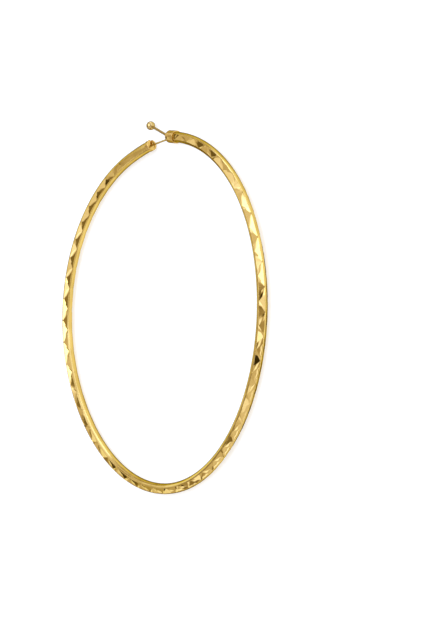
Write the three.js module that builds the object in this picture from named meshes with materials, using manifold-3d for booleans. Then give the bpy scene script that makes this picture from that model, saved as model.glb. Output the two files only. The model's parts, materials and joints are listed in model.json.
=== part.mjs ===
// A large hoop earring of round gold tube, with a row of triangular cuts on its front and its back.
// Its ends carry turned caps. A lever is hinged in one of them: its thin wire bridges the gap for the ear,
// and its thicker arm ends in a ball that a finger lifts to swing the wire out of the other cap.
// It lies on its side: the hoop is in the XY plane, the ear gap is towards +Y and +Z is up.
// Lengths are millimetres, angles are degrees. The origin is at the bottom centre of the whole earring.
import * as THREE from "three";
import { mergeVertices } from "three/addons/utils/BufferGeometryUtils.js";
import Module from "manifold-3d";

const wasm = await Module();
wasm.setup();

// Hoop: a turn is an angle round the hoop, counted from +X towards +Y
const hoopDiameter = 100; // over the tube
const tubeDiameter = 3;
const earGap = 8.45; // between the end faces of the two caps
const endStep = 1.9; // how much further out the hinge end stands than the wire end
const lobeDepth = 0.56; // how far the tube strays from a true circle, three times round
const lobeTurn = 23;
const flareHeight = 0.6; // the wire end is bent a little less than the rest
const flareTurn = 14;

// Cuts: an angle round the tube is counted from +Z towards the outside of the hoop
const plainLength = 20; // smooth tube between the wire end and the first cut
const plainMargin = 0.35; // smooth tube between the last cut and the hinge cap
const cutPitch = 6.25;
const driftTurn = 2; // the rows run ahead and behind by this much, twice in a full turn
const driftPeakTurn = 80; // the turn at which they are furthest ahead
const cutDepth = 0.22; // how far a triangle's point is sunk
const cutHalfWidth = 31; // half the width of a row, round the tube
const cutLead = 4; // the short slope at each edge of a row
const rowMiddle = 12; // where a row lies, round the tube, on average
const rowSwing = 40; // how far the row wanders round the tube
const rowSwingTurn = -24; // the turn at which it lies furthest out
const pointShare = 0.03; // blunt tip of each triangle, as a share of the pitch
const narrowShare = 0.07; // bevel on one leg of each triangle
const wideShare = 0.16; // bevel on the other leg
const outerSteps = 4;
const innerSteps = 6;
const plainSteps = 8;

// Caps
const wireCapDiameter = 3.2;
const wireCapLength = 1.5;
const dishDiameter = 2.1; // the hollow in the wire cap's end face
const dishDepth = 0.3;
const hingeCapDiameter = 3.6;
const hingeCapLength = 3.9;
const noseRadius = 0.8; // rounding of the hinge cap at the ear gap
const rimRadius = 0.25; // rounding of the wire cap at the ear gap
const seatRimRadius = 0.08; // rounding of both caps at the tube
const rimSteps = 4;
const spigotDiameter = 1.8;
const spigotLength = 1.8;
const seatGap = 0.06; // between a cap and the tube, all round
const roundSides = 24;

// Hinge
const pinDiameter = 0.5;
const pinRecess = 0.3; // each end of the pin lies this far below the cap's side
const runningGap = 0.08; // between the pin and the holes that it passes through
const pivotBack = 1.15; // from the cap's end face to the pin
const pivotIn = 0.4; // from the cap's axis towards the hoop's inside
const slotWidth = 0.95;
const slotGap = 0.15; // between the lever's eye and the slot's floor
const eyeDiameter = 1.3;
const eyeThickness = 0.65;
const leverReach = 11.2; // from the pin to the middle of the ball
const leverLift = 15; // from the cap's axis towards the outside
const postDiameter = 0.7;
const ballDiameter = 2.5;
const holeSides = 16;

// Ear wire, which is the lever's other arm
const wireDiameter = 0.5;
const wireGap = 0.1; // round it in the notch of the wire cap
const wireSeat = 1; // how deep its tip lies below the wire cap's end face

const hoopRadius = (hoopDiameter - tubeDiameter) / 2;
const tubeRadius = tubeDiameter / 2;
const halfGapTurn = THREE.MathUtils.radToDeg(Math.asin(earGap / 2 / hoopRadius));
const turnPerLength = 360 / (2 * Math.PI * hoopRadius);
const wireFaceTurn = 90 + halfGapTurn;
const hingeFaceTurn = 450 - halfGapTurn;
const tubeStartTurn = wireFaceTurn + wireCapLength * turnPerLength;
const tubeEndTurn = hingeFaceTurn - hingeCapLength * turnPerLength;

const sinOf = (degrees) => Math.sin(THREE.MathUtils.degToRad(degrees));
const cosOf = (degrees) => Math.cos(THREE.MathUtils.degToRad(degrees));

// Distance from the hoop's middle to the tube's centre line.
function radiusAt(turn) {
  const step = (endStep * (turn - 270)) / 360;
  const lobe = lobeDepth * cosOf(3 * turn + lobeTurn);
  const flare = Math.max(0, 1 - (turn - wireFaceTurn) / flareTurn);
  return hoopRadius + step - lobe + flareHeight * flare ** 2;
}

function centreAt(turn) {
  const radius = radiusAt(turn);
  return new THREE.Vector3(radius * cosOf(turn), radius * sinOf(turn), 0);
}

// Directions at a turn: along the tube and away from the inside of the hoop.
function directionsAt(turn) {
  const along = centreAt(turn + 0.05).sub(centreAt(turn - 0.05)).normalize();
  return { along, out: new THREE.Vector3(along.y, -along.x, 0) };
}

// A point of the tube's surface, or under it where depth is given.
function surfacePoint(turn, angle, depth = 0) {
  const reach = tubeRadius - depth;
  const point = centreAt(turn).addScaledVector(directionsAt(turn).out, reach * sinOf(angle));
  point.z += reach * cosOf(angle);
  return point;
}

// Closed solid of a geometry, and back again.
function solidOf(geometry) {
  const bare = geometry.clone();
  bare.deleteAttribute("normal");
  bare.deleteAttribute("uv");
  const merged = mergeVertices(bare, 1e-5);
  const corners = Array.from(merged.index.array);
  const kept = [];
  for (let i = 0; i < corners.length; i += 3) {
    const [a, b, c] = corners.slice(i, i + 3);
    if (a !== b && b !== c && c !== a) kept.push(a, b, c);
  }
  const vertProperties = new Float32Array(merged.attributes.position.array);
  return new wasm.Manifold(new wasm.Mesh({ numProp: 3, vertProperties, triVerts: new Uint32Array(kept) }));
}

function geometryOf(solid) {
  const mesh = solid.getMesh();
  const geometry = new THREE.BufferGeometry();
  geometry.setAttribute("position", new THREE.BufferAttribute(new Float32Array(mesh.vertProperties), 3));
  geometry.setIndex(new THREE.BufferAttribute(new Uint32Array(mesh.triVerts), 1));
  geometry.computeVertexNormals();
  return geometry;
}

const driftAt = (turn) => driftTurn * cosOf(2 * (turn - driftPeakTurn));

// Columns of the tube's grid. The cuts' inner and outer edges have turns and depths of their own.
function plainColumn(turn) {
  return { innerTurn: turn, outerTurn: turn, innerDepth: 0, outerDepth: 0, round: 1 };
}

function cutColumn(start, pitchTurn, innerShare, outerShare, innerSunk, outerSunk) {
  return {
    innerTurn: start + innerShare * pitchTurn,
    outerTurn: start + outerShare * pitchTurn,
    innerDepth: innerSunk ? cutDepth : 0,
    outerDepth: outerSunk ? cutDepth : 0,
    round: 0,
  };
}

function tubeColumns() {
  const baseShare = 1 - pointShare - narrowShare - wideShare;
  const tipBefore = (pointShare - baseShare) / 2;
  const tipAfter = 1 - (pointShare + baseShare) / 2;
  const firstTurn = wireFaceTurn + plainLength * turnPerLength;
  const limitTurn = tubeEndTurn - (plainMargin + cutPitch * pointShare) * turnPerLength;
  const lastTurn = limitTurn - driftAt(limitTurn);
  const repeats = Math.round((lastTurn - firstTurn) / (cutPitch * turnPerLength));
  const pitchTurn = (lastTurn - firstTurn) / repeats;
  const startAt = (i) => firstTurn + i * pitchTurn + driftAt(firstTurn + i * pitchTurn);
  const plainEnd = startAt(0) - pitchTurn / 2;
  const columns = [];
  for (let i = 0; i <= plainSteps; i++) {
    columns.push(plainColumn(tubeStartTurn + ((plainEnd - tubeStartTurn) * i) / plainSteps));
  }
  for (let i = 0; i < repeats; i++) {
    const start = startAt(i);
    columns.push(
      cutColumn(start, pitchTurn, 0, tipBefore, false, i > 0),
      cutColumn(start, pitchTurn, narrowShare, tipBefore + narrowShare, true, false),
      cutColumn(start, pitchTurn, narrowShare + pointShare, tipAfter - wideShare, true, false),
      cutColumn(start, pitchTurn, narrowShare + pointShare + wideShare, tipAfter, false, true),
    );
  }
  columns.push(cutColumn(startAt(repeats), pitchTurn, 0, tipBefore, false, true));
  columns.push(plainColumn(tubeEndTurn - plainMargin * turnPerLength), plainColumn(tubeEndTurn));
  return columns;
}

// The ring of grid points that a column has round the tube, from the front row over the outside and back.
function columnRing(column) {
  const middleTurn = (column.innerTurn + column.outerTurn) / 2;
  const middle = rowMiddle + rowSwing * cosOf(middleTurn - rowSwingTurn);
  const edge = cutHalfWidth + cutLead;
  const row = (side) => {
    const inner = surfacePoint(column.innerTurn, side(middle - cutHalfWidth), column.innerDepth);
    const outer = surfacePoint(column.outerTurn, side(middle + cutHalfWidth), column.outerDepth);
    const between = inner.clone().lerp(outer, 0.5);
    return [
      surfacePoint(column.innerTurn, side(middle - edge)),
      inner,
      between.lerp(surfacePoint(middleTurn, side(middle)), column.round),
      outer,
      surfacePoint(column.outerTurn, side(middle + edge)),
    ];
  };
  const front = row((angle) => angle);
  const back = row((angle) => 180 - angle).reverse();
  const arc = (turn, from, to, steps) => {
    const angles = Array.from({ length: steps }, (_, i) => from + ((to - from) * (i + 1)) / (steps + 1));
    return angles.map((angle) => surfacePoint(turn, angle));
  };
  const outside = arc(column.outerTurn, middle + edge, 180 - middle - edge, outerSteps);
  const inside = arc(column.innerTurn, 180 - middle + edge, 360 + middle - edge, innerSteps);
  return [...front, ...outside, ...back, ...inside];
}

// A straight cylinder's grid is bent round the hoop, column by column.
function bentTube() {
  const rings = tubeColumns().map(columnRing);
  const sides = rings[0].length;
  const last = rings.length - 1;
  const geometry = new THREE.CylinderGeometry(1, 1, 1, sides, last);
  const position = geometry.attributes.position;
  for (let i = 0; i < position.count; i++) {
    const [x, y, z] = [position.getX(i), position.getY(i), position.getZ(i)];
    const column = Math.round((y + 0.5) * last);
    const side = Math.round((Math.atan2(x, z) / (2 * Math.PI)) * sides + sides) % sides;
    const endCentre = centreAt(column === 0 ? tubeStartTurn : tubeEndTurn);
    const point = Math.hypot(x, z) < 0.5 ? endCentre : rings[column][side];
    position.setXYZ(i, point.x, point.y, point.z);
  }
  return geometry;
}

// Frame of a tube end: X away from the inside of the hoop, Y out of the tube towards the ear gap.
function endFrame(turn, sense) {
  const { along, out } = directionsAt(turn);
  const axis = along.multiplyScalar(sense);
  const side = new THREE.Vector3().crossVectors(out, axis);
  return new THREE.Matrix4().makeBasis(out, axis, side).setPosition(centreAt(turn));
}

const wireEnd = endFrame(tubeStartTurn, -1);
const hingeEnd = endFrame(tubeEndTurn, 1);

// A straight rod between two points.
function rodGeometry(from, to, diameter, sides) {
  const line = to.clone().sub(from);
  const turned = new THREE.Quaternion().setFromUnitVectors(new THREE.Vector3(0, 1, 0), line.clone().normalize());
  const middle = from.clone().lerp(to, 0.5);
  return new THREE.CylinderGeometry(diameter / 2, diameter / 2, line.length(), sides)
    .applyQuaternion(turned)
    .translate(middle.x, middle.y, middle.z);
}

// The bent tube with a blind seat in each end for its cap's spigot.
function hoopTubeGeometry() {
  const seatDiameter = spigotDiameter + 2 * seatGap;
  const seatDepth = spigotLength + seatGap;
  const seat = (frame) => {
    const bottom = new THREE.Vector3(0, -seatDepth, 0).applyMatrix4(frame);
    const mouth = new THREE.Vector3(0, seatDepth, 0).applyMatrix4(frame);
    return solidOf(rodGeometry(bottom, mouth, seatDiameter, roundSides));
  };
  return geometryOf(solidOf(bentTube()).subtract(seat(wireEnd)).subtract(seat(hingeEnd)));
}

// A quarter round between two faces of a turned profile.
function rim(radius, edge, startAngle, y) {
  return Array.from({ length: rimSteps + 1 }, (_, i) => {
    const angle = startAngle + (90 * i) / rimSteps;
    return new THREE.Vector2(radius - edge + edge * cosOf(angle), y + edge * sinOf(angle));
  });
}

function turned(profile) {
  return solidOf(new THREE.LatheGeometry(profile, roundSides));
}

function block(x, y, z) {
  const size = [x, y, z].map(([low, high]) => high - low);
  const middle = [x, y, z].map(([low, high]) => (low + high) / 2);
  return solidOf(new THREE.BoxGeometry(...size).translate(...middle));
}

const spigotProfile = [
  new THREE.Vector2(0, -spigotLength),
  new THREE.Vector2(spigotDiameter / 2, -spigotLength),
  new THREE.Vector2(spigotDiameter / 2, seatGap),
];

// The notch runs from the wire out through the cap's outer side, so that the wire can swing out.
function wireCapGeometry() {
  const radius = wireCapDiameter / 2;
  const body = turned([
    ...spigotProfile,
    ...rim(radius, seatRimRadius, -90, seatGap + seatRimRadius),
    ...rim(radius, rimRadius, 0, wireCapLength - rimRadius),
    new THREE.Vector2(dishDiameter / 2, wireCapLength),
    new THREE.Vector2(dishDiameter / 2, wireCapLength - dishDepth),
    new THREE.Vector2(0, wireCapLength - dishDepth),
  ]);
  const halfNotch = wireDiameter / 2 + wireGap;
  const bottom = wireCapLength - wireSeat - wireGap;
  const notch = block([-halfNotch, wireCapDiameter], [bottom, wireCapLength * 2], [-halfNotch, halfNotch]);
  return geometryOf(body.subtract(notch));
}

const pivot = new THREE.Vector3(-pivotIn, hingeCapLength - pivotBack, 0);

// A cylinder along Z through the pivot.
function pivotRod(diameter, length) {
  const half = new THREE.Vector3(0, 0, length / 2);
  return rodGeometry(pivot.clone().sub(half), pivot.clone().add(half), diameter, holeSides);
}

function hingeCapGeometry() {
  const radius = hingeCapDiameter / 2;
  const body = turned([
    ...spigotProfile,
    ...rim(radius, seatRimRadius, -90, seatGap + seatRimRadius),
    ...rim(radius, noseRadius, 0, hingeCapLength - noseRadius),
    new THREE.Vector2(0, hingeCapLength),
  ]);
  const room = eyeDiameter / 2 + slotGap;
  const slot = block(
    [pivot.x - room, hingeCapDiameter],
    [pivot.y - room, hingeCapLength * 2],
    [-slotWidth / 2, slotWidth / 2],
  );
  const holes = solidOf(pivotRod(pinDiameter + 2 * runningGap, hingeCapDiameter * 2));
  return geometryOf(body.subtract(slot).subtract(holes));
}

// The pin ends a little below the cap's sides.
function pinGeometry() {
  const sideHeight = Math.sqrt((hingeCapDiameter / 2) ** 2 - pivotIn ** 2);
  return pivotRod(pinDiameter, 2 * (sideHeight - pinRecess)).translate(-pivot.x, -pivot.y, 0);
}

// The lever's frame: X runs from the pin's axis to the ball.
function leverFrame() {
  const turnedBy = new THREE.Matrix4().makeRotationZ(THREE.MathUtils.degToRad(90 - leverLift));
  return new THREE.Matrix4().makeTranslation(pivot).multiply(turnedBy);
}

function leverGeometry() {
  const origin = new THREE.Vector3();
  const tip = new THREE.Vector3(leverReach, 0, 0);
  const halfEye = new THREE.Vector3(0, 0, eyeThickness / 2);
  const through = new THREE.Vector3(0, 0, eyeDiameter);
  const toLever = hingeEnd.clone().multiply(leverFrame()).invert();
  const wireTip = new THREE.Vector3(0, wireCapLength - wireSeat, 0).applyMatrix4(wireEnd).applyMatrix4(toLever);
  const rod = (from, to, diameter) => solidOf(rodGeometry(from, to, diameter, holeSides));
  const arms = rod(origin, tip, postDiameter).add(rod(origin, wireTip, wireDiameter));
  const eye = rod(halfEye.clone().negate(), halfEye, eyeDiameter);
  const hole = rod(through.clone().negate(), through, pinDiameter + 2 * runningGap);
  const ball = solidOf(new THREE.SphereGeometry(ballDiameter / 2, 24, 16).translate(leverReach, 0, 0));
  return geometryOf(eye.add(arms).subtract(hole).add(ball));
}

const gold = new THREE.MeshStandardMaterial({ color: "#dba94c", metalness: 1, roughness: 0.22 });
const darkGold = new THREE.MeshStandardMaterial({ color: "#7a5a26", metalness: 1, roughness: 0.45 });

function named(name, geometry, material) {
  const mesh = new THREE.Mesh(geometry, material);
  mesh.name = name;
  return mesh;
}

function groupAt(frame, ...children) {
  const group = new THREE.Group();
  group.applyMatrix4(frame);
  group.add(...children);
  return group;
}

function buildEarring() {
  const lever = groupAt(leverFrame(), named("ear_lever", leverGeometry(), gold));
  const pin = named("hinge_pin", pinGeometry(), darkGold);
  pin.position.copy(pivot);
  const earring = new THREE.Group();
  earring.add(
    named("hoop_tube", hoopTubeGeometry(), gold),
    groupAt(wireEnd, named("wire_cap", wireCapGeometry(), gold)),
    groupAt(hingeEnd, named("hinge_cap", hingeCapGeometry(), gold), pin, lever),
  );
  return earring;
}

// Stands the origin at the bottom centre of everything that was built.
function onItsBase(object) {
  const box = new THREE.Box3().setFromObject(object, true);
  const middle = box.getCenter(new THREE.Vector3());
  object.position.set(-middle.x, -middle.y, -box.min.z);
  const part = new THREE.Group();
  part.add(object);
  return part;
}

export default onItsBase(buildEarring());
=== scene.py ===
"""Looks of a large hoop earring of gold tube that lies on its side on a white table.

Sizes are millimetres and degrees, as in the solid model. Meshes are turned into metres as they are made.
A turn is an angle round the hoop from +X towards +Y. An angle round the tube counts from +Z outwards.
"""
import json
import math

import bmesh
import bpy
from mathutils import Matrix, Vector


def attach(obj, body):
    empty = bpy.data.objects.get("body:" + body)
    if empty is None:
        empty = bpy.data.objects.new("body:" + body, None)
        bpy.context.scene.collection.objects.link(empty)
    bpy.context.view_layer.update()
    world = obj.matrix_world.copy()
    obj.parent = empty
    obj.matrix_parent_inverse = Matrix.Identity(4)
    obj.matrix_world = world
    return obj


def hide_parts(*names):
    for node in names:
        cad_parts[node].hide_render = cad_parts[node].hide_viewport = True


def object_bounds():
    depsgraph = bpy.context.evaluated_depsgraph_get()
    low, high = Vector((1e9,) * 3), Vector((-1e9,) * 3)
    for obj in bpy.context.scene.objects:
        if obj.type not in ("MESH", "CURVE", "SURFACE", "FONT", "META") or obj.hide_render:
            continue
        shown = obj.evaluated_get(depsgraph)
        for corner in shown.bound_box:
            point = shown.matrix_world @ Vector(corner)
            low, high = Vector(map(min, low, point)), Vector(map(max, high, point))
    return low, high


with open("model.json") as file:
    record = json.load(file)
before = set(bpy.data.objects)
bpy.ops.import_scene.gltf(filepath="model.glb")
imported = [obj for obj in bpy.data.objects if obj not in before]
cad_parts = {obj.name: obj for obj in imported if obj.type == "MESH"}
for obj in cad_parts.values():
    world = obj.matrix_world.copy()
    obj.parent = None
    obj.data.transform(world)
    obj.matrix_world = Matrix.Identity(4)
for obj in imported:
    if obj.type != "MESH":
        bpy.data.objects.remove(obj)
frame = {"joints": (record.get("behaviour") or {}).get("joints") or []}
cad_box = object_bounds()

# Hoop
HOOP_DIAMETER = 100
TUBE_DIAMETER = 3
EAR_GAP = 8.45
END_STEP = 1.9
LOBES = 3
LOBE_DEPTH = 0.56
LOBE_TURN = 23
FLARE_HEIGHT = 0.6
FLARE_TURN = 14
LOWEST_TURN = 270
TURN_STEP = 0.05
HOOP_RADIUS = (HOOP_DIAMETER - TUBE_DIAMETER) / 2
TUBE_RADIUS = TUBE_DIAMETER / 2

# Cuts
PLAIN_LENGTH = 20
PLAIN_MARGIN = 0.35
CUT_PITCH = 6.25
DRIFT_TURN = 2
DRIFT_PEAK_TURN = 80
CUT_DEPTH = 0.22
CUT_HALF_WIDTH = 31
CUT_LEAD = 4
ROW_MIDDLE = 12
ROW_SWING = 40
ROW_SWING_TURN = -24
POINT_SHARE = 0.03
NARROW_SHARE = 0.07
WIDE_SHARE = 0.16
ROW_POINTS = 5
OUTER_STEPS = 11
INNER_STEPS = 15
STEP_LENGTH = 1.3
TUBE_SKIN = 0.004  # the finer tube stays this far inside the solid one
TUBE_SHARP_ANGLE = 17

# Caps, lever and pin
SPIGOT_DIAMETER = 1.8
SPIGOT_LENGTH = 1.8
WIRE_CAP_DIAMETER = 3.2
WIRE_CAP_LENGTH = 1.5
DISH_DIAMETER = 2.1
DISH_DEPTH = 0.3
HINGE_CAP_DIAMETER = 3.6
HINGE_CAP_LENGTH = 3.9
NOSE_RADIUS = 0.8
NOSE_STEPS = 14
RIM_RADIUS = 0.25
SEAT_RIM_RADIUS = 0.08
SEAT_GAP = 0.06
PIN_DIAMETER = 0.5
PIN_RECESS = 0.3
RUNNING_GAP = 0.08
PIVOT_BACK = 1.15
PIVOT_IN = 0.4
SLOT_WIDTH = 0.95
SLOT_GAP = 0.15
EYE_DIAMETER = 1.3
EYE_THICKNESS = 0.65
LEVER_REACH = 11.2
LEVER_LIFT = 15
POST_DIAMETER = 0.7
BALL_DIAMETER = 2.5
WIRE_DIAMETER = 0.5
WIRE_GAP = 0.1
WIRE_SEAT = 1
CAP_EDGE = 0.05
PIN_EDGE = 0.08
LEVER_EDGE = 0.03
EDGE_STEPS = 3
EDGE_ANGLE = 45
SHARP_ANGLE = 35

HALF_GAP_TURN = math.degrees(math.asin(EAR_GAP / 2 / HOOP_RADIUS))
TURN_PER_LENGTH = 360 / (2 * math.pi * HOOP_RADIUS)
WIRE_FACE_TURN = 90 + HALF_GAP_TURN
HINGE_FACE_TURN = 450 - HALF_GAP_TURN
TUBE_START_TURN = WIRE_FACE_TURN + WIRE_CAP_LENGTH * TURN_PER_LENGTH
TUBE_END_TURN = HINGE_FACE_TURN - HINGE_CAP_LENGTH * TURN_PER_LENGTH


def sin_of(degrees):
    return math.sin(math.radians(degrees))


def cos_of(degrees):
    return math.cos(math.radians(degrees))


def centre_at(turn):
    """Middle of the tube at a turn."""
    flare = max(0, 1 - (turn - WIRE_FACE_TURN) / FLARE_TURN)
    radius = HOOP_RADIUS + END_STEP * (turn - LOWEST_TURN) / 360
    radius += FLARE_HEIGHT * flare**2 - LOBE_DEPTH * cos_of(LOBES * turn + LOBE_TURN)
    return Vector((radius * cos_of(turn), radius * sin_of(turn), 0))


def directions_at(turn):
    """Directions along the tube and away from the inside of the hoop."""
    along = (centre_at(turn + TURN_STEP) - centre_at(turn - TURN_STEP)).normalized()
    return along, Vector((along.y, -along.x, 0))


def surface_point(turn, angle, depth=0.0):
    reach = TUBE_RADIUS - TUBE_SKIN - depth
    up = Vector((0, 0, 1))
    return centre_at(turn) + directions_at(turn)[1] * reach * sin_of(angle) + up * reach * cos_of(angle)


def end_frame(turn, sense):
    """Frame of a tube end: X away from the inside of the hoop, Y towards the ear gap."""
    along, out = directions_at(turn)
    axis = along * sense
    matrix = Matrix((out, axis, out.cross(axis))).transposed().to_4x4()
    return Matrix.Translation(centre_at(turn)) @ matrix


WIRE_END = end_frame(TUBE_START_TURN, -1)
HINGE_END = end_frame(TUBE_END_TURN, 1)
PIVOT = Vector((-PIVOT_IN, HINGE_CAP_LENGTH - PIVOT_BACK, 0))
JOINT_PLACE = Vector(frame["joints"][0]["pos_m"])
HOOP_MIDDLE = JOINT_PLACE * 1000 - HINGE_END @ PIVOT
TO_PART = Matrix.Scale(0.001, 4) @ Matrix.Translation(HOOP_MIDDLE)


# Camera: the photo's angle, with its left edge uppermost
CAMERA_PLACE = (543.9, -24.0, 367.3)
CAMERA_RIGHT = (0.57781, 0.00579, -0.81615)
CAMERA_FORWARD = (-0.81576, 0.03587, -0.57728)
CAMERA_LENS = 134.07
CAMERA_SENSOR = 36
CAMERA_REACH = 50  # metres


def add_camera():
    data = bpy.data.cameras.new("photo_camera")
    data.lens = CAMERA_LENS
    data.sensor_width = CAMERA_SENSOR
    data.clip_end = CAMERA_REACH
    camera = bpy.data.objects.new("photo_camera", data)
    bpy.context.scene.collection.objects.link(camera)
    back = -Vector(CAMERA_FORWARD).normalized()
    right = Vector(CAMERA_RIGHT).normalized()
    turned = Matrix((right, back.cross(right), back)).transposed().to_4x4()
    camera.matrix_world = Matrix.Translation(TO_PART @ Vector(CAMERA_PLACE)) @ turned
    bpy.context.scene.camera = camera


# Node helpers for materials
def new_material(name):
    material = bpy.data.materials.new(name)
    material.use_nodes = True
    return material, material.node_tree, material.node_tree.nodes["Principled BSDF"]


def add_node(tree, kind, settings=None, **inputs):
    node = tree.nodes.new(kind)
    for key, value in (settings or {}).items():
        setattr(node, key, value)
    for key, value in inputs.items():
        name = key.replace("_", " ")
        if isinstance(value, bpy.types.NodeSocket):
            tree.links.new(value, node.inputs[name])
        else:
            node.inputs[name].default_value = value
    return node


BROAD_SCALE = 0.12
BROAD_DETAIL = 2
GRAIN_SHARE = 0.5
GRAIN_DEPTH = 0.00002
EDGE_TINT = (0.1, 0.08, 0.05, 1)


def mapped_noise(tree, coordinates, scale, noise_scale, detail=4):
    mapping = add_node(tree, "ShaderNodeMapping", Vector=coordinates)
    mapping.inputs["Scale"].default_value = scale
    return add_node(
        tree, "ShaderNodeTexNoise", Vector=mapping.outputs["Vector"], Scale=noise_scale, Detail=detail
    ).outputs["Fac"]


def ranged(tree, value, low, high, start=0.3, end=0.7):
    node = add_node(tree, "ShaderNodeMapRange", Value=value)
    for name, number in zip(("From Min", "From Max", "To Min", "To Max"), (start, end, low, high)):
        node.inputs[name].default_value = number
    return node.outputs["Result"]


def tinted(tree, value, dark, light, start=0.3, end=0.7):
    ramp = add_node(tree, "ShaderNodeValToRGB", Fac=value)
    ramp.color_ramp.elements[0].position = start
    ramp.color_ramp.elements[0].color = (*dark, 1)
    ramp.color_ramp.elements[1].position = end
    ramp.color_ramp.elements[1].color = (*light, 1)
    return ramp.outputs["Color"]


def gold(name, dark, light, rough, noise_scale, bump, stretch=(1, 1, 1), use_uv=False, edge=EDGE_TINT):
    """Gold with a grain: colour and gloss follow a fine and a broad noise, and relief the fine one."""
    material, tree, shader = new_material(name)
    place = add_node(tree, "ShaderNodeTexCoord").outputs["UV" if use_uv else "Object"]
    grain = mapped_noise(tree, place, stretch, noise_scale)
    broad = mapped_noise(tree, place, (1, 1, 1), noise_scale * BROAD_SCALE, BROAD_DETAIL)
    both = add_node(tree, "ShaderNodeMath", {"operation": "MULTIPLY_ADD"})
    tree.links.new(grain, both.inputs[0])
    both.inputs[1].default_value = GRAIN_SHARE
    tree.links.new(ranged(tree, broad, 0, 1 - GRAIN_SHARE, 0, 1), both.inputs[2])
    mixed = both.outputs["Value"]
    shader.inputs["Metallic"].default_value = 1
    shader.inputs["Specular Tint"].default_value = edge
    tree.links.new(tinted(tree, mixed, dark, light), shader.inputs["Base Color"])
    tree.links.new(ranged(tree, mixed, *rough), shader.inputs["Roughness"])
    relief = add_node(tree, "ShaderNodeBump", Strength=bump, Distance=GRAIN_DEPTH, Height=grain)
    tree.links.new(relief.outputs["Normal"], shader.inputs["Normal"])
    return material


# Golds, where rough is the roughness of the dark and the light grain
SATIN_GOLD = gold(
    "satin_gold",
    dark=(0.56, 0.37, 0.075),
    light=(0.9, 0.64, 0.18),
    rough=(0.2, 0.06),
    noise_scale=1.6,
    bump=1,
    stretch=(0.12, 4, 1),
    use_uv=True,
)
CUT_GOLD = gold(
    "cut_gold",
    dark=(0.77, 0.525, 0.125),
    light=(0.93, 0.672, 0.205),
    rough=(0.07, 0.025),
    noise_scale=1.2,
    bump=0.14,
    stretch=(3, 0.4, 1),
    use_uv=True,
)
CAP_GOLD = gold(
    "cap_gold",
    dark=(0.66, 0.42, 0.1),
    light=(0.86, 0.59, 0.175),
    rough=(0.3, 0.14),
    noise_scale=1400,
    bump=0.2,
)
LEVER_GOLD = gold(
    "lever_gold",
    dark=(0.52, 0.362, 0.11),
    light=(0.7, 0.495, 0.16),
    rough=(0.09, 0.03),
    noise_scale=1800,
    bump=0.1,
    edge=(0, 0, 0, 1),
)
# The hinge pin is coloured almost black. This is painted shade that gives the dark spot of the hole at
# the hinge.
PIN_PAINTED_SHADE = gold(
    "pin_painted_shade",
    dark=(0.05, 0.03, 0.01),
    light=(0.14, 0.09, 0.03),
    rough=(0.5, 0.35),
    noise_scale=2400,
    bump=0.3,
)


def add_piece(name, mesh, body, materials, replaced=()):
    piece = bpy.data.objects.new(name, mesh)
    bpy.context.scene.collection.objects.link(piece)
    for material in materials:
        mesh.materials.append(material)
    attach(piece, body)
    if replaced:
        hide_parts(*replaced)
    return piece


# Hoop tube with its rows of cuts
def plain_column(turn):
    return {"turns": (turn, turn), "depths": (0, 0), "round": True}


def cut_column(turns, depths):
    return {"turns": turns, "depths": [depth * CUT_DEPTH for depth in depths], "round": False}


def drift_at(turn):
    return DRIFT_TURN * cos_of(2 * (turn - DRIFT_PEAK_TURN))


def tube_columns():
    """The tube's main columns, in the order of the turn."""
    base = 1 - POINT_SHARE - NARROW_SHARE - WIDE_SHARE
    before = (POINT_SHARE - base) / 2
    after = 1 - (POINT_SHARE + base) / 2
    first = WIRE_FACE_TURN + PLAIN_LENGTH * TURN_PER_LENGTH
    limit = TUBE_END_TURN - (PLAIN_MARGIN + CUT_PITCH * POINT_SHARE) * TURN_PER_LENGTH
    last = limit - drift_at(limit)
    repeats = round((last - first) / (CUT_PITCH * TURN_PER_LENGTH))
    pitch = (last - first) / repeats
    starts = [first + i * pitch + drift_at(first + i * pitch) for i in range(repeats + 1)]
    columns = [plain_column(TUBE_START_TURN), plain_column(starts[0] - pitch / 2)]
    for i, start in enumerate(starts[:-1]):
        spots = (
            ((0, before), (0, 1 if i else 0)),
            ((NARROW_SHARE, before + NARROW_SHARE), (1, 0)),
            ((NARROW_SHARE + POINT_SHARE, after - WIDE_SHARE), (1, 0)),
            ((NARROW_SHARE + POINT_SHARE + WIDE_SHARE, after), (0, 1)),
        )
        for shares, depths in spots:
            columns.append(cut_column([start + share * pitch for share in shares], depths))
    columns.append(cut_column([starts[-1], starts[-1] + before * pitch], (0, 1)))
    columns.append(plain_column(TUBE_END_TURN - PLAIN_MARGIN * TURN_PER_LENGTH))
    columns.append(plain_column(TUBE_END_TURN))
    return columns


def middle_turn(column):
    return sum(column["turns"]) / 2


def row_middle(turn):
    return ROW_MIDDLE + ROW_SWING * cos_of(turn - ROW_SWING_TURN)


def cut_edges(column, side):
    """The two edges of a row at a main column, on the front or the back."""
    middle = row_middle(middle_turn(column))
    spots = zip(column["turns"], (middle - CUT_HALF_WIDTH, middle + CUT_HALF_WIDTH), column["depths"])
    return [surface_point(turn, side(angle), depth) for turn, angle, depth in spots]


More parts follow.
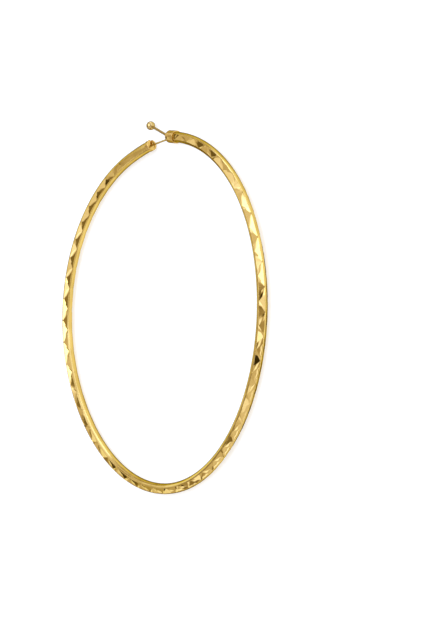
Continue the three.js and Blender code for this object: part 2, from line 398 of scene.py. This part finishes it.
def ring_between(low, high, share):
    """Points round the tube between two main columns, straight across the cuts."""
    inner, outer = [low["turns"][k] * (1 - share) + high["turns"][k] * share for k in (0, 1)]
    middle = row_middle((inner + outer) / 2)
    edge = CUT_HALF_WIDTH + CUT_LEAD
    smooth = low["round"] and high["round"]

    def row(side):
        if smooth:
            angles = [middle - CUT_HALF_WIDTH, middle, middle + CUT_HALF_WIDTH]
            points = [surface_point(inner, side(angle)) for angle in angles]
        else:
            edges = zip(cut_edges(low, side), cut_edges(high, side))
            pair = [start.lerp(end, share) for start, end in edges]
            points = [pair[0], (pair[0] + pair[1]) / 2, pair[1]]
        start = surface_point(inner, side(middle - edge))
        return [start, *points, surface_point(outer, side(middle + edge))]

    def arc(turn, start, end, steps):
        angles = [start + (end - start) * (i + 1) / (steps + 1) for i in range(steps)]
        return [surface_point(turn, angle) for angle in angles]

    front = row(lambda angle: angle)
    back = row(lambda angle: 180 - angle)[::-1]
    outside = arc(outer, middle + edge, 180 - middle - edge, OUTER_STEPS)
    inside = arc(inner, 180 - middle + edge, 360 + middle - edge, INNER_STEPS)
    return front + outside + back + inside


def inside_cad_box(point):
    return Vector([min(max(value, low), high) for value, low, high in zip(point, *cad_box)])


def tube_rings():
    """The rings of the finer tube, the turn of each, and whether cuts lie between it and the next."""
    columns = tube_columns()
    rings, turns, cut_spans = [], [], []
    for low, high in zip(columns, columns[1:]):
        span = max(abs(high["turns"][k] - low["turns"][k]) for k in (0, 1)) / TURN_PER_LENGTH
        steps = max(1, math.ceil(span / STEP_LENGTH))
        for step in range(steps):
            rings.append(ring_between(low, high, step / steps))
            turns.append(middle_turn(low) + (middle_turn(high) - middle_turn(low)) * step / steps)
            cut_spans.append(not (low["round"] and high["round"]))
    rings.append(ring_between(columns[-2], columns[-1], 1))
    turns.append(TUBE_END_TURN)
    return rings, turns, cut_spans


def tube_faces(sides, cut_spans):
    """The faces of the finer tube with its two ends last, and whether each lies in a cut."""
    back_start = ROW_POINTS + OUTER_STEPS
    cut_sides = {1, 2, back_start + 1, back_start + 2}
    faces, in_cut = [], []
    for i, is_cut in enumerate(cut_spans):
        for j in range(sides):
            k = (j + 1) % sides
            faces.append((i * sides + j, i * sides + k, (i + 1) * sides + k, (i + 1) * sides + j))
            in_cut.append(is_cut and j in cut_sides)
    faces.append(tuple(range(sides))[::-1])
    faces.append(tuple(len(cut_spans) * sides + j for j in range(sides)))
    return faces, in_cut + [False, False]


def add_tube_uv(mesh, turns, sides):
    """Lengths along and round the tube. The last face of each ring ends at a full turn."""
    uv = mesh.uv_layers.new(name="tube").data
    for polygon in mesh.polygons:
        closes = polygon.index % sides == sides - 1
        for loop in polygon.loop_indices:
            ring, side = divmod(mesh.loops[loop].vertex_index, sides)
            around = (sides if closes and side == 0 else side) / sides
            uv[loop].uv = (turns[ring] / TURN_PER_LENGTH, around * math.pi * TUBE_DIAMETER)


def tube_mesh():
    rings, turns, cut_spans = tube_rings()
    sides = len(rings[0])
    faces, in_cut = tube_faces(sides, cut_spans)
    mesh = bpy.data.meshes.new("hoop_tube_fine")
    mesh.from_pydata([inside_cad_box(TO_PART @ point) for ring in rings for point in ring], [], faces)
    for polygon in mesh.polygons:
        is_end = polygon.index >= len(faces) - 2
        polygon.use_smooth = not (in_cut[polygon.index] or is_end)
        polygon.material_index = 1 if in_cut[polygon.index] else 0
    add_tube_uv(mesh, turns, sides)
    mesh.set_sharp_from_angle(angle=math.radians(TUBE_SHARP_ANGLE))
    return mesh


def build_tube():
    add_piece("hoop_tube_fine", tube_mesh(), "hoop", [SATIN_GOLD, CUT_GOLD], ["hoop_tube"])


# Small solids, made in millimetres and joined or cut with booleans
def temporary(bm):
    mesh = bpy.data.meshes.new("temporary")
    bm.to_mesh(mesh)
    bm.free()
    made = bpy.data.objects.new("temporary", mesh)
    bpy.context.scene.collection.objects.link(made)
    return made


def rod(start, end, diameter, sides=48):
    axis = end - start
    matrix = Matrix.Translation((start + end) / 2) @ axis.to_track_quat("Z", "Y").to_matrix().to_4x4()
    bm = bmesh.new()
    bmesh.ops.create_cone(
        bm, cap_ends=True, segments=sides, radius1=diameter / 2, radius2=diameter / 2,
        depth=axis.length, matrix=matrix,
    )
    return temporary(bm)


def ball(place, diameter):
    bm = bmesh.new()
    matrix = Matrix.Translation(place)
    bmesh.ops.create_uvsphere(bm, u_segments=48, v_segments=32, radius=diameter / 2, matrix=matrix)
    return temporary(bm)


def block(low, high):
    bm = bmesh.new()
    size = [b - a for a, b in zip(low, high)]
    middle = [(a + b) / 2 for a, b in zip(low, high)]
    bmesh.ops.create_cube(bm, size=1, matrix=Matrix.Translation(middle) @ Matrix.Diagonal((*size, 1)))
    return temporary(bm)


def turned(profile, sides=96):
    """A closed solid of revolution about Y, from its profile of radius and height."""
    bm = bmesh.new()
    rings = []
    for radius, height in profile:
        count = sides if radius else 1
        turns = [360 * i / count for i in range(count)]
        rings.append([bm.verts.new((radius * sin_of(a), height, radius * cos_of(a))) for a in turns])
    for low, high in zip(rings, rings[1:]):
        for i in range(sides):
            k = (i + 1) % sides
            corners = [low[i % len(low)], low[k % len(low)], high[k % len(high)], high[i % len(high)]]
            bm.faces.new(list(dict.fromkeys(corners)))
    bmesh.ops.recalc_face_normals(bm, faces=bm.faces)
    return temporary(bm)


def rim(radius, edge, start, height, steps=8):
    angles = [start + 90 * i / steps for i in range(steps + 1)]
    return [(radius - edge + edge * cos_of(a), height + edge * sin_of(a)) for a in angles]


def finished(name, base, changes, place, edge):
    """Joins and cuts a base, softens its edges and brings it into the part's frame."""
    for operation, other in changes:
        change = base.modifiers.new("change", "BOOLEAN")
        change.operation = operation
        change.object = other
    soft = base.modifiers.new("soft", "BEVEL")
    soft.width = edge
    soft.segments = EDGE_STEPS
    soft.angle_limit = math.radians(EDGE_ANGLE)
    graph = bpy.context.evaluated_depsgraph_get()
    mesh = bpy.data.meshes.new_from_object(base.evaluated_get(graph))
    mesh.name = name
    mesh.transform(TO_PART @ place)
    mesh.shade_smooth()
    mesh.set_sharp_from_angle(angle=math.radians(SHARP_ANGLE))
    for old in [base] + [other for _, other in changes]:
        bpy.data.objects.remove(old)
    return mesh


SPIGOT = [
    (0, -SPIGOT_LENGTH),
    (SPIGOT_DIAMETER / 2, -SPIGOT_LENGTH),
    (SPIGOT_DIAMETER / 2, SEAT_GAP),
]


def wire_cap_mesh():
    radius = WIRE_CAP_DIAMETER / 2
    profile = SPIGOT + rim(radius, SEAT_RIM_RADIUS, -90, SEAT_GAP + SEAT_RIM_RADIUS)
    profile += rim(radius, RIM_RADIUS, 0, WIRE_CAP_LENGTH - RIM_RADIUS)
    profile += [(DISH_DIAMETER / 2, WIRE_CAP_LENGTH), (DISH_DIAMETER / 2, WIRE_CAP_LENGTH - DISH_DEPTH)]
    profile += [(0, WIRE_CAP_LENGTH - DISH_DEPTH)]
    half = WIRE_DIAMETER / 2 + WIRE_GAP
    bottom = WIRE_CAP_LENGTH - WIRE_SEAT - WIRE_GAP
    notch = block((-half, bottom, -half), (WIRE_CAP_DIAMETER, WIRE_CAP_LENGTH * 2, half))
    return finished("wire_cap_fine", turned(profile), [("DIFFERENCE", notch)], WIRE_END, CAP_EDGE)


def hinge_cap_mesh():
    radius = HINGE_CAP_DIAMETER / 2
    profile = SPIGOT + rim(radius, SEAT_RIM_RADIUS, -90, SEAT_GAP + SEAT_RIM_RADIUS)
    profile += rim(radius, NOSE_RADIUS, 0, HINGE_CAP_LENGTH - NOSE_RADIUS, NOSE_STEPS)
    profile += [(0, HINGE_CAP_LENGTH)]
    room = EYE_DIAMETER / 2 + SLOT_GAP
    slot = block(
        (PIVOT.x - room, PIVOT.y - room, -SLOT_WIDTH / 2),
        (HINGE_CAP_DIAMETER, HINGE_CAP_LENGTH * 2, SLOT_WIDTH / 2),
    )
    reach = Vector((0, 0, HINGE_CAP_DIAMETER))
    holes = rod(PIVOT - reach, PIVOT + reach, PIN_DIAMETER + 2 * RUNNING_GAP)
    changes = [("DIFFERENCE", slot), ("DIFFERENCE", holes)]
    return finished("hinge_cap_fine", turned(profile), changes, HINGE_END, CAP_EDGE)


def pin_mesh():
    side_height = math.sqrt((HINGE_CAP_DIAMETER / 2) ** 2 - PIVOT_IN**2)
    half = Vector((0, 0, side_height - PIN_RECESS))
    pin = rod(PIVOT - half, PIVOT + half, PIN_DIAMETER)
    return finished("hinge_pin_fine", pin, [], HINGE_END, PIN_EDGE)


def lever_mesh():
    """The lever's X runs from the pin's axis to the ball."""
    place = HINGE_END @ Matrix.Translation(PIVOT) @ Matrix.Rotation(math.radians(90 - LEVER_LIFT), 4, "Z")
    wire_tip = place.inverted() @ WIRE_END @ Vector((0, WIRE_CAP_LENGTH - WIRE_SEAT, 0))
    origin = Vector((0, 0, 0))
    half_eye = Vector((0, 0, EYE_THICKNESS / 2))
    half_hole = half_eye * 3
    tip = Vector((LEVER_REACH, 0, 0))
    changes = [
        ("UNION", rod(origin, tip, POST_DIAMETER)),
        ("UNION", rod(origin, wire_tip, WIRE_DIAMETER)),
        ("DIFFERENCE", rod(-half_hole, half_hole, PIN_DIAMETER + 2 * RUNNING_GAP)),
        ("UNION", ball(tip, BALL_DIAMETER)),
    ]
    eye = rod(-half_eye, half_eye, EYE_DIAMETER)
    return finished("ear_lever_fine", eye, changes, place, LEVER_EDGE)


def build_closure():
    add_piece("wire_cap_fine", wire_cap_mesh(), "hoop", [CAP_GOLD], ["wire_cap"])
    add_piece("hinge_cap_fine", hinge_cap_mesh(), "hoop", [CAP_GOLD], ["hinge_cap"])
    add_piece("hinge_pin_fine", pin_mesh(), "hoop", [PIN_PAINTED_SHADE], ["hinge_pin"])
    add_piece("ear_lever_fine", lever_mesh(), "lever", [LEVER_GOLD], ["ear_lever"])


# Stage, in metres
FLOOR_HALF = 3
FLOOR_COLOR = (0.5, 0.515, 0.43, 1)
FLOOR_GLOW = 0.6


def add_floor():
    mesh = bpy.data.meshes.new("floor")
    corners = [(x * FLOOR_HALF, y * FLOOR_HALF, 0) for x, y in ((-1, -1), (1, -1), (1, 1), (-1, 1))]
    mesh.from_pydata(corners, [], [(0, 1, 2, 3)])
    floor = bpy.data.objects.new("floor", mesh)
    bpy.context.scene.collection.objects.link(floor)
    material, tree, shader = new_material("floor_white")
    shader.inputs["Base Color"].default_value = FLOOR_COLOR
    shader.inputs["Emission Color"].default_value = (1, 1, 1, 1)
    shader.inputs["Emission Strength"].default_value = FLOOR_GLOW
    shader.inputs["Roughness"].default_value = 0.9
    shader.inputs["Specular IOR Level"].default_value = 0.1
    mesh.materials.append(material)


def direction(azimuth, elevation):
    """A direction, with azimuth counted from +X towards +Y."""
    flat = cos_of(elevation)
    return Vector((flat * cos_of(azimuth), flat * sin_of(azimuth), sin_of(elevation)))


# Cards in the sky, where a later one covers an earlier one. Each row is azimuth, elevation, radius,
# softness, brightness, and the radius of a ring's hole.
SKY_CARDS = (
    (30, 8, 26, 8, 1.5, 0),
    (80, 6, 27, 8, 2.1, 0),
    (168, 12, 14, 5, 1.7, 0),
    (60, 45, 32, 8, 0.85, 0),
    (60, 80, 22, 9, 1.6, 0),
    (-167, 78, 64, 1.5, 1.35, 57.5),
    (108, 62, 13, 4, 1.9, 0),
    (42, 64, 9, 4, 1.4, 0),
    (-105, 54, 20, 6, 0.95, 0),
    (-65, 46, 14, 3, 0.85, 0),
    (-95, 68, 8, 3, 1.5, 0),
    (-163, 59, 13, 3, 0.25, 0),
    (-166, 45, 5, 2, 0.08, 0),
    (174, 49, 10, 4, 0.8, 0),
    (118, 43, 12, 4, 1.05, 0),
    (148, 33, 5, 2, 1.0, 0),
    (163, 38, 4.5, 1, 0.18, 0),
    (155, 42, 4, 1, 0.18, 0),
    (160, 34, 3.5, 1, 0.75, 0),
    (-164, 8, 7, 1.5, 0.14, 0),
    (-160, 16, 3.5, 1, 1.4, 0),
    (-172, 24, 3.5, 1, 1.3, 0),
    (164, 55, 3, 1, 0.25, 0),
    (172, 45, 3, 1, 0.25, 0),
    (179, 35, 3.2, 1, 0.28, 0),
    (-178, 28, 3, 1, 0.26, 0),
    (-148, 22, 4, 2, 1.2, 0),
    (-129, 28, 8, 2, 0.3, 0),
    (-130, 8, 4, 1.5, 0.05, 0),
    (-117, 13, 5, 2, 1.2, 0),
    (-81, 18, 6, 2, 0.25, 0),
    (-54, 22, 10, 3, 1.1, 0),
    (-28, 27, 5, 2, 0.04, 0),
    (-15, 30, 4, 2, 1.45, 0),
    (6, 48, 5.5, 1.5, 0.06, 0),
    (6, 37, 7, 2, 0.22, 0),
    (-19, 54, 8, 3, 0.45, 0),
    (132, 30, 5, 3, 0.2, 0),
    (112, 3, 7, 3, 0.5, 0),
    (66, 30, 6, 3, 1.5, 0),
)
SKY_BRIGHTNESS = 0.68
SKY_DARK_TINT = (1, 0.76, 0.3)
SKY_LIGHT_TINT = (1, 1.14, 1.95)
SKY_TINT_RANGE = (0.1, 1.5)  # brightness of the two tints


def disc_share(tree, nearness, radius, softness):
    """How far a direction lies inside a soft disc, from the cosine of its angle to the disc's middle."""
    return ranged(tree, nearness, 0, 1, cos_of(radius + softness), cos_of(max(0, radius - softness)))


def card_share(tree, place, middle, radius, softness, hole):
    dot = add_node(tree, "ShaderNodeVectorMath", {"operation": "DOT_PRODUCT"})
    tree.links.new(place, dot.inputs[0])
    dot.inputs[1].default_value = middle
    share = disc_share(tree, dot.outputs["Value"], radius, softness)
    if not hole:
        return share
    ring = add_node(tree, "ShaderNodeMath", {"operation": "SUBTRACT"})
    tree.links.new(share, ring.inputs[0])
    tree.links.new(disc_share(tree, dot.outputs["Value"], hole, softness), ring.inputs[1])
    return ring.outputs["Value"]


def add_sky():
    world = bpy.data.worlds.new("studio_sky")
    bpy.context.scene.world = world
    world.use_nodes = True
    tree = world.node_tree
    background = tree.nodes["Background"]
    place = add_node(tree, "ShaderNodeTexCoord").outputs["Generated"]
    level = SKY_BRIGHTNESS
    for azimuth, elevation, radius, softness, brightness, hole in SKY_CARDS:
        share = card_share(tree, place, direction(azimuth, elevation), radius, softness, hole)
        mix = add_node(tree, "ShaderNodeMix", {"data_type": "FLOAT"}, Factor=share, A=level, B=brightness)
        level = mix.outputs["Result"]
    tree.links.new(level, background.inputs["Strength"])
    tint_share = ranged(tree, level, 0, 1, *SKY_TINT_RANGE)
    warmth = tinted(tree, tint_share, SKY_DARK_TINT, SKY_LIGHT_TINT, 0, 1)
    tree.links.new(warmth, background.inputs["Color"])


def add_lamp(name, azimuth, elevation, distance, size, power):
    data = bpy.data.lights.new(name, "AREA")
    data.shape = "DISK"
    data.size = size
    data.energy = power
    lamp = bpy.data.objects.new(name, data)
    bpy.context.scene.collection.objects.link(lamp)
    lamp.location = direction(azimuth, elevation) * distance
    lamp.rotation_euler = direction(azimuth, elevation).to_track_quat("Z", "Y").to_euler()


def light_stage():
    add_sky()
    add_lamp("key", azimuth=60, elevation=75, distance=1.2, size=0.9, power=2)
    bpy.context.scene.view_settings.view_transform = "Standard"


add_camera()
build_tube()
build_closure()
add_floor()
light_stage()
